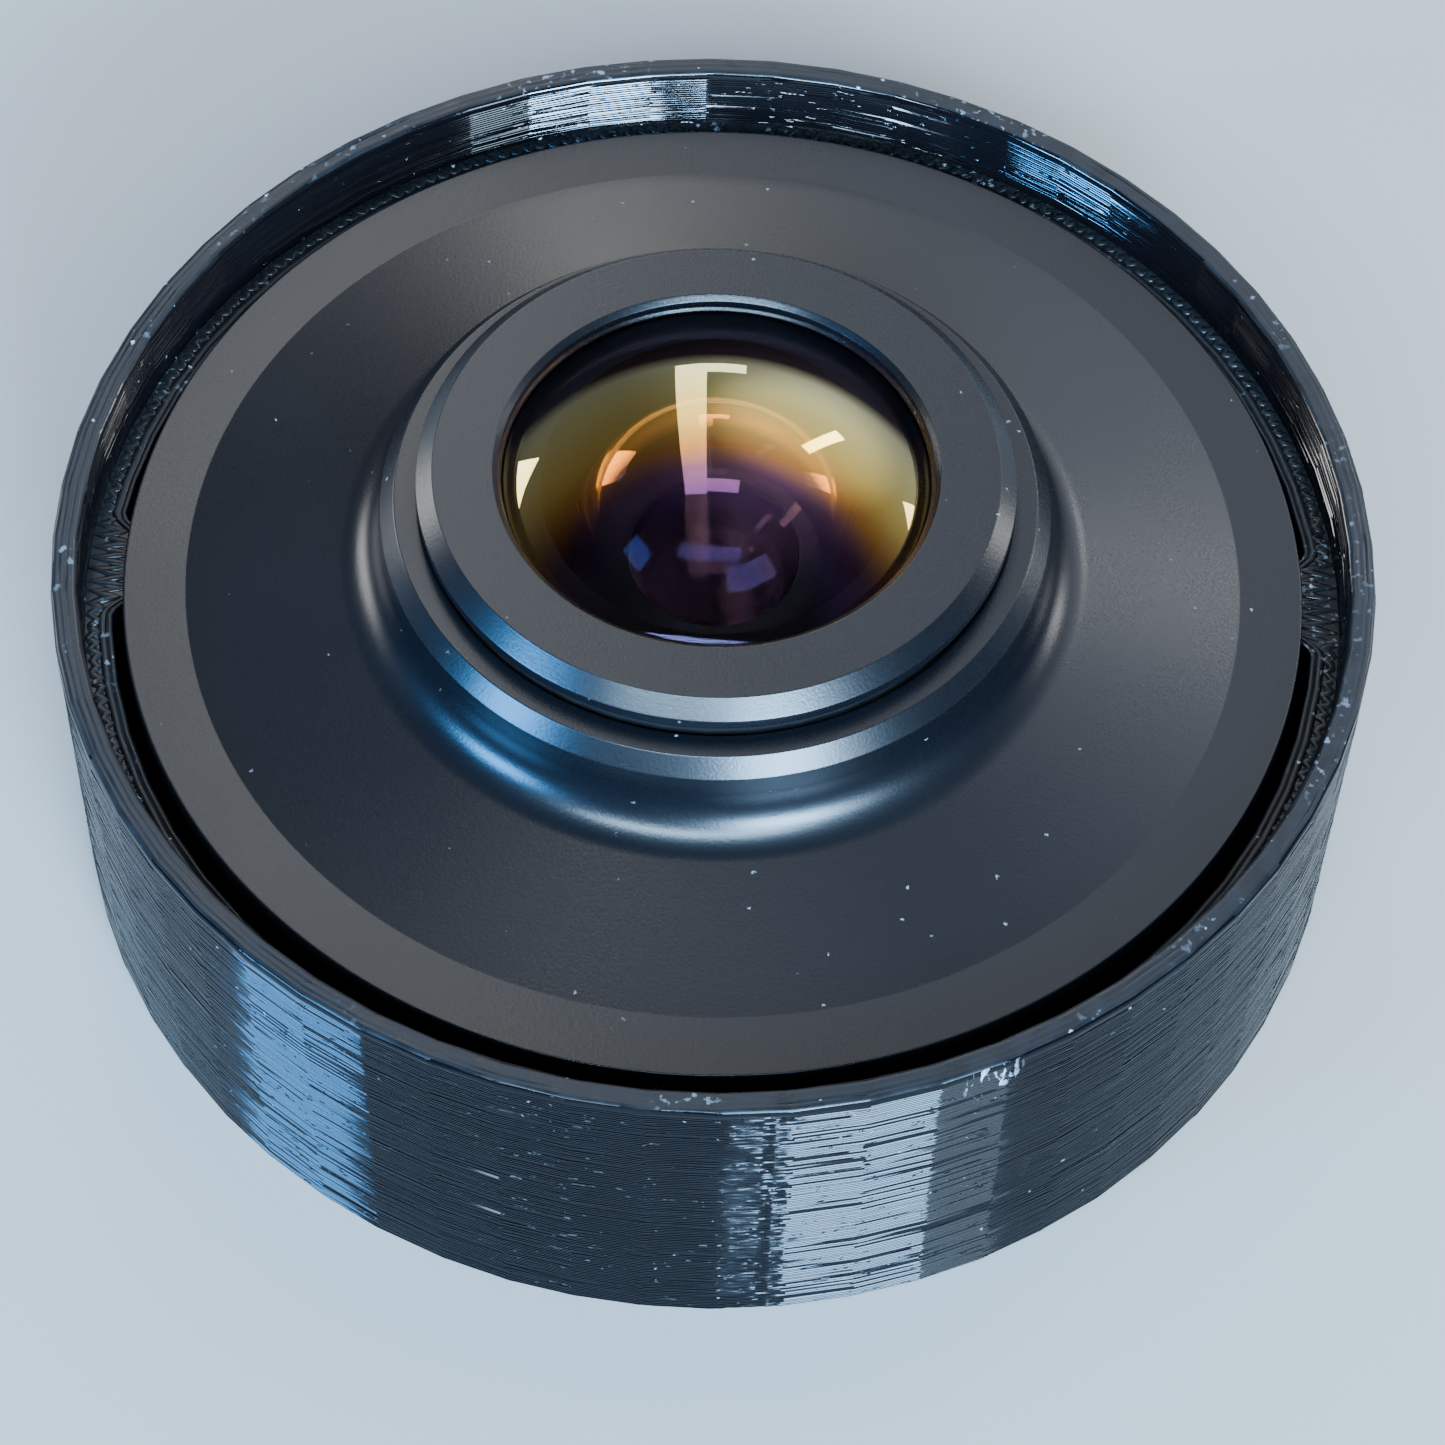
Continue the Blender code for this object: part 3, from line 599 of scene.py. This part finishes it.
def stand_cup(plastic, top_plastic, inner_plastic):
    """The whole print as one skin: underside, outer wall, rim, ledge, well and floor."""
    draw = random.Random(11)
    angles = cup_angles()
    outer = faceted(CUP_R, angles)
    rim = faceted(RIM_IN_R, angles)
    well = well_radius(angles)
    rows = [(ZERO, np.zeros(1))]
    rows += [(outer - inset * MM, height * MM) for inset, height in FOOT_EDGE]
    rows += wall_rows(outer, LAYER / 2, CUP_H - RIM_ROUND, 1.0, angles, draw, OUTER_BEAD)
    blend = (outer - rim) / (CUP_R - RIM_IN_R)
    for inset, drop in RIM_OUTER_EDGE + RIM_LINES + RIM_INNER_EDGE:
        radius = outer - inset * MM * blend + wavy(RIM_WANDER, angles, draw)
        height = CUP_H - drop * MM + np.minimum(wavy(RIM_DIP, angles, draw), 0.0)
        rows.append((radius, height))
    ledge_start = LEDGE_Z + 0.05 * MM
    rows += reversed(wall_rows(rim, ledge_start, CUP_H - RIM_ROUND, -1.0, angles, draw, RIM_BEAD))
    rows.append((rim - 0.02 * MM, LEDGE_Z - 0.10 * MM))
    for inset, drop in LEDGE_LINES:
        rows.append((well + inset * MM + wavy(LEDGE_WANDER, angles, draw), LEDGE_Z - drop * MM))
    for inset, drop in WELL_EDGE:
        rows.append((well + inset * MM, LEDGE_Z - drop * MM))
    inside = wall_rows(well, FLOOR_Z, LEDGE_Z - LAYER, -1.0, angles, draw, WELL_BEAD, 2 * LAYER)
    rows += reversed(inside)
    rows.append((ZERO, np.array([FLOOR_Z])))
    cup = swept("cup_print", rows, angles, plastic, closed=False, sharp=36.0)
    cup.data.materials.append(top_plastic)
    cup.data.materials.append(inner_plastic)
    for face in cup.data.polygons:
        if face.center.z < LEDGE_Z - 0.3 * MM:
            continue
        if face.normal.z > 0.8:
            face.material_index = TOP_FACE
        elif math.hypot(face.center.x, face.center.y) < CUP_R - 1.0 * MM:
            face.material_index = INNER_FACE
    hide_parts("printed_cup")
    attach(cup, "cup")


def ledge_infill(plastic):
    """The zig-zag line that fills the ledge between its edge lines and the rim wall."""
    curve = bpy.data.curves.new("ledge_infill", "CURVE")
    curve.dimensions = "3D"
    curve.bevel_depth = INFILL_R
    curve.bevel_resolution = 2
    turns = round(math.tau * (RIM_IN_R - 0.5 * MM) / ZIGZAG_PITCH)
    spline = curve.splines.new("POLY")
    spline.use_cyclic_u = True
    spline.points.add(4 * turns - 1)
    draw = random.Random(5)
    for i, point in enumerate(spline.points):
        bend, middle = divmod(i, 2)
        angle = math.tau * (bend + 0.5 * middle + draw.gauss(0.0, 0.10)) / (2 * turns)
        inner = float(well_radius(np.array(angle))) + 1.02 * MM
        outer = RIM_IN_R - 0.22 * MM
        share = 0.5 if middle else bend % 2
        radius = inner + (outer - inner) * share + draw.gauss(0.0, 0.07 * MM)
        height = INFILL_Z + draw.gauss(0.0, 0.045 * MM)
        point.co = (radius * math.cos(angle), radius * math.sin(angle), height, 1.0)
        point.radius = draw.uniform(0.8, 1.15)
    path = bpy.data.objects.new("ledge_infill", curve)
    bpy.context.scene.collection.objects.link(path)
    bpy.context.view_layer.update()
    graph = bpy.context.evaluated_depsgraph_get()
    mesh = bpy.data.meshes.new_from_object(path.evaluated_get(graph), depsgraph=graph)
    bpy.data.objects.remove(path)
    for vertex in mesh.vertices:
        vertex.co.z = INFILL_Z + (vertex.co.z - INFILL_Z) * INFILL_FLATTENING
    infill = bpy.data.objects.new("ledge_infill", mesh)
    bpy.context.scene.collection.objects.link(infill)
    mesh.materials.append(plastic)
    mesh.shade_smooth()
    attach(infill, "cup")


# Lens unit


def housing(metal):
    """Flange, cone, fillet and hub with broken edges."""
    bore_edge = 0.2 * MM
    hub_top_r = 19.2 * MM
    hub_r = 20.1 * MM
    hub_edge_z = 26.8 * MM
    fillet_r = 3.2 * MM
    fillet_top_z = 25.35 * MM
    cone_tilt = math.radians(10.2)
    band_in_r = 32.1 * MM
    flange_top_z = 20.5 * MM
    seat_z = 19.1 * MM
    boss_r = 27.4 * MM
    fillet_end = 1.5 * math.pi - cone_tilt
    fillet = arc((hub_r + fillet_r, fillet_top_z), fillet_r, math.pi, fillet_end, 24)
    profile = [
        (BORE_R, HUB_TOP_Z - bore_edge),
        (BORE_R + bore_edge, HUB_TOP_Z),
        (hub_top_r, HUB_TOP_Z),
        (hub_r, hub_edge_z),
        *fillet,
        (band_in_r, flange_top_z),
        (FLANGE_R, flange_top_z),
        (FLANGE_R, seat_z),
        (boss_r, seat_z),
        (boss_r, BOSS_Z),
        (BORE_R, BOSS_Z),
    ]
    piece = turned("housing_shell", softened(profile, 0.10 * MM), metal, sharp=60.0)
    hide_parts("front_housing")
    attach(piece, "housing")


def bezel(metal):
    """The chamfered ring round the lens, with a thin lip that holds the glass."""
    top_in_r = 13.3 * MM
    top_out_r = 16.85 * MM
    chamfer_low_z = 29.4 * MM
    head_z = 28.75 * MM
    cell_r = 17.3 * MM
    cell_z = 28.4 * MM
    skirt_r = 15.4 * MM
    skirt_in_r = 14.9 * MM
    under_lip_z = 29.15 * MM
    throat_r = 12.95 * MM
    lip_r = 12.78 * MM
    profile = [
        (throat_r, BEZEL_TOP_Z - 0.3 * MM),
        (top_in_r, BEZEL_TOP_Z),
        (top_out_r, BEZEL_TOP_Z),
        (BEZEL_R, chamfer_low_z),
        (BEZEL_R, head_z),
        (cell_r, head_z),
        (cell_r, cell_z),
        (skirt_r, cell_z),
        (skirt_r, BEZEL_LOW[2]),
        (skirt_in_r, BEZEL_LOW[2]),
        (skirt_in_r, under_lip_z),
        (lip_r, 29.32 * MM),
        (lip_r, 29.45 * MM),
        (throat_r, 29.62 * MM),
    ]
    piece = turned("bezel_shell", softened(profile, 0.06 * MM), metal, sharp=60.0)
    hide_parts("front_bezel_ring")
    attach(piece, "cell")


def sag(curve_r, radius):
    size = abs(curve_r)
    return math.copysign(size - math.sqrt(size * size - radius * radius), curve_r)


def face_points(clear_r, land_z, curve_r, side, points=36):
    """A curved face from the axis out to its clear radius. side is 1 for a front, -1 for a rear."""
    radii = [clear_r * i / points for i in range(points + 1)]
    return [(r, land_z + side * (sag(curve_r, clear_r) - sag(curve_r, r))) for r in radii]


def lens_profile(shape):
    """The glass outline from the front pole over the ground edge to the rear pole."""
    bevel = 0.15 * MM
    front = face_points(shape.front_r, shape.front_z, shape.front_curve, 1.0)
    rear = face_points(shape.rear_r, shape.rear_z, shape.rear_curve, -1.0)
    edge = [
        (shape.edge_r - bevel, shape.front_z),
        (shape.edge_r, shape.front_z - bevel),
        (shape.edge_r, shape.rear_z + bevel),
        (shape.edge_r - bevel, shape.rear_z),
    ]
    return front + edge + rear[::-1]


def dome_height(radius):
    return DOME.front_z + sag(DOME.front_curve, DOME.front_r) - sag(DOME.front_curve, radius)


def dome_profile():
    """The dome's outline with a ground bevel near its edge, flatter than the dome, and a step down."""
    outline = lens_profile(DOME)
    start_r = EDGE_BEVEL_START_R
    end_r = EDGE_BEVEL_END_R
    first = next(i for i, p in enumerate(outline) if p[0] > start_r)
    last = next(i for i, p in enumerate(outline) if p[0] > end_r)
    top_z = dome_height(start_r)
    foot_r = end_r + 0.03 * MM
    bevel = [
        (start_r, top_z),
        (end_r, top_z - (end_r - start_r) * EDGE_BEVEL_TILT),
        (foot_r, dome_height(foot_r)),
    ]
    return outline[:first] + bevel + outline[last:]


def glass(name, node, shape, outline, front, rear, paint):
    """A lens with polished faces, and black paint on its lands and edge."""
    piece = turned(name, outline, front, LENS_STEPS, closed=False, sharp=25.0)
    piece.data.materials.append(rear)
    piece.data.materials.append(paint)
    for face in piece.data.polygons:
        radius = math.hypot(face.center.x, face.center.y)
        if face.normal.z > 0.1:
            face.material_index = 0 if radius < shape.front_r else 2
        else:
            face.material_index = 1 if radius < shape.rear_r and face.normal.z < -0.1 else 2
    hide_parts(node)
    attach(piece, "cell")


# Light, floor and camera


def area_light(name, azimuth, elevation, size, radiance, colour, offset=(0.0, 0.0)):
    """A flat soft box LIGHT_REACH away that faces the lens unit.

    Azimuth 0 is on the -Y side and grows towards +X. Size and offset are width and height in
    the box's own plane, as shares of its distance."""
    a = math.radians(azimuth)
    e = math.radians(elevation)
    direction = Vector((math.sin(a) * math.cos(e), -math.cos(a) * math.cos(e), math.sin(e)))
    light = bpy.data.lights.new(name, "AREA")
    light.shape = "RECTANGLE"
    light.size = size[0] * LIGHT_REACH
    light.size_y = size[1] * LIGHT_REACH
    light.energy = radiance * math.pi * light.size * light.size_y
    light.color = colour
    lamp = bpy.data.objects.new(name, light)
    turn = direction.to_track_quat("Z", "Y")
    shift = turn @ Vector((offset[0], offset[1], 0.0)) * LIGHT_REACH
    lamp.location = Vector(LIGHT_TARGET) + direction * LIGHT_REACH + shift
    lamp.rotation_euler = turn.to_euler()
    bpy.context.scene.collection.objects.link(lamp)


def studio():
    """Bluish windows in front and at the left, white panels behind, and a sky with one brighter spot.

    The sky is dim in front and at the left."""
    white = (1.0, 1.0, 0.98)
    area_light("window_front", 21.0, 23, (0.38, 0.34), 145.0, (0.36, 0.64, 1.0))
    area_light("window_front_side", 38, 23, (0.20, 0.34), 16.0, (0.55, 0.78, 1.0))
    area_light("window_left", -58, 17, (0.30, 0.30), 105.0, (0.08, 0.40, 1.0))
    area_light("window_high", -4, 43, (0.80, 0.20), 62.0, (0.46, 0.72, 1.0))
    area_light("frame_side", 180, 50, (0.14, 1.15), 5.5, white, (0.130, -0.02))
    area_light("frame_low", 180, 50, (0.31, 0.12), 5.5, white, (0.045, -0.57))
    area_light("frame_high", 180, 50, (0.34, 0.11), 5.0, white, (0.03, 0.48))
    area_light("panel_right", 142, 38, (0.06, 0.28), 18.0, white)
    area_light("panel_left", 241, 6, (0.34, 0.44), 11.0, white)
    area_light("panel_far_right", 114, 8, (0.16, 0.44), 10.0, white)
    world = bpy.data.worlds.new("studio")
    bpy.context.scene.world = world
    world.use_nodes = True
    tree = world.node_tree
    background = tree.nodes["Background"]
    place = tree.nodes.new("ShaderNodeTexCoord")
    split = tree.nodes.new("ShaderNodeSeparateXYZ")
    tree.links.new(place.outputs["Generated"], split.inputs[0])

    def span(value, low, high, to_low, to_high):
        made = tree.nodes.new("ShaderNodeMapRange")
        made.interpolation_type = "SMOOTHSTEP"
        tree.links.new(value, made.inputs["Value"])
        for name, number in zip(("From Min", "From Max", "To Min", "To Max"), (low, high, to_low, to_high)):
            made.inputs[name].default_value = number
        return made.outputs["Result"]

    def combine(operation, a, b):
        made = tree.nodes.new("ShaderNodeMath")
        made.operation = operation
        tree.links.new(a, made.inputs[0])
        tree.links.new(b, made.inputs[1])
        return made.outputs[0]

    rise = span(split.outputs[2], -0.05, 0.25, 0.35, 0.9)
    depth = span(split.outputs[1], -0.10, 0.50, 0.16, 1.0)
    side = span(split.outputs[0], -0.45, 0.50, 0.34, 1.2)
    toward = tree.nodes.new("ShaderNodeVectorMath")
    toward.operation = "DOT_PRODUCT"
    tree.links.new(place.outputs["Generated"], toward.inputs[0])
    toward.inputs[1].default_value = GLOW_DIRECTION
    glow = span(toward.outputs["Value"], 0.86, 0.985, 0.0, 1.4)
    sky = combine("MULTIPLY", combine("MULTIPLY", rise, depth), side)
    tree.links.new(combine("ADD", sky, glow), background.inputs["Strength"])
    background.inputs["Color"].default_value = (0.86, 0.95, 1.10, 1.0)


def floor():
    """A plain pale floor, a hair below the cup."""
    mesh = bpy.data.meshes.new("floor")
    corners = [(x * FLOOR_HALF, y * FLOOR_HALF, 0.0) for x, y in ((-1, -1), (1, -1), (1, 1), (-1, 1))]
    mesh.from_pydata(corners, [], [(0, 1, 2, 3)])
    mesh.materials.append(floor_finish())
    plane = bpy.data.objects.new("floor", mesh)
    plane.location.z = -FLOOR_DROP
    bpy.context.scene.collection.objects.link(plane)


def camera():
    """A long lens from the -Y side, 55 degrees up, turned and tipped a little off the cup's middle."""
    elevation = math.radians(55.42)
    tip = math.radians(-0.467)
    roll = math.radians(1.92)
    distance = 6.965 * CUP_R
    aside = 0.0211 * CUP_R
    straight = Vector((0.0, -math.cos(elevation), math.sin(elevation)))
    right = Vector((1.0, 0.0, 0.0))
    upright = straight.cross(right)
    back = straight * math.cos(tip) + upright * math.sin(tip)
    up = upright * math.cos(tip) - straight * math.sin(tip)
    side = right * math.cos(roll) + up * math.sin(roll)
    top = up * math.cos(roll) - right * math.sin(roll)
    data = bpy.data.cameras.new("camera")
    data.sensor_width = 36.0
    data.lens = 106.9
    data.clip_start = 0.01
    eye = bpy.data.objects.new("camera", data)
    look = Matrix((side, top, back)).transposed().to_4x4()
    place = Vector((aside, 0.0, 0.0)) + straight * distance
    eye.matrix_world = Matrix.Translation(place) @ look
    bpy.context.scene.collection.objects.link(eye)
    bpy.context.scene.camera = eye


camera()
plastic = printed_wall("printed_wall", WALL_GLOSS)
inner_plastic = printed_wall("printed_inner_wall", INNER_WALL_GLOSS)
top_plastic = printed_top()
metal = anodised("blasted_anodised", False)
bezel_metal = anodised("turned_anodised", True)
front_coating = lens_coating("front_coating", FRONT_COATING)
rear_coating = lens_coating("rear_coating", REAR_COATING)
inner_coating = lens_coating("inner_coating", INNER_COATING)
inner_black = matte_black("inner_black", 0.55, (0.006, 0.006, 0.0065), 0.0, 0.25)
paint = matte_black("edge_paint", 0.55, (0.0012, 0.0010, 0.0016), 0.0, 0.08)
rubber = matte_black("black_rubber", 0.8, (0.015, 0.015, 0.015), 0.0)
looks = {
    "printed_plastic": plastic,
    "anodised_aluminium": metal,
    "inner_aluminium": inner_black,
    "coated_glass": front_coating,
    "inner_glass": inner_coating,
    "seal_rubber": rubber,
    "grip_rubber": rubber,
    "steel": bare_metal("bright_steel", (0.55, 0.55, 0.56), 0.28),
    "washer_plastic": matte_black("pale_plastic", 0.45, (0.55, 0.55, 0.52), 0.0),
}
stand_cup(plastic, top_plastic, inner_plastic)
ledge_infill(top_plastic)
housing(metal)
bezel(bezel_metal)
glass(
    "dome_lens", "front_lens", DOME, dome_profile(), front_coating, rear_coating, paint
)
glass(
    "second_glass", "second_lens", SECOND, lens_profile(SECOND),
    inner_coating, inner_coating, paint,
)
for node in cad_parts.values():
    for place in node.material_slots:
        place.material = looks.get(place.material.name, place.material)
studio()
floor()
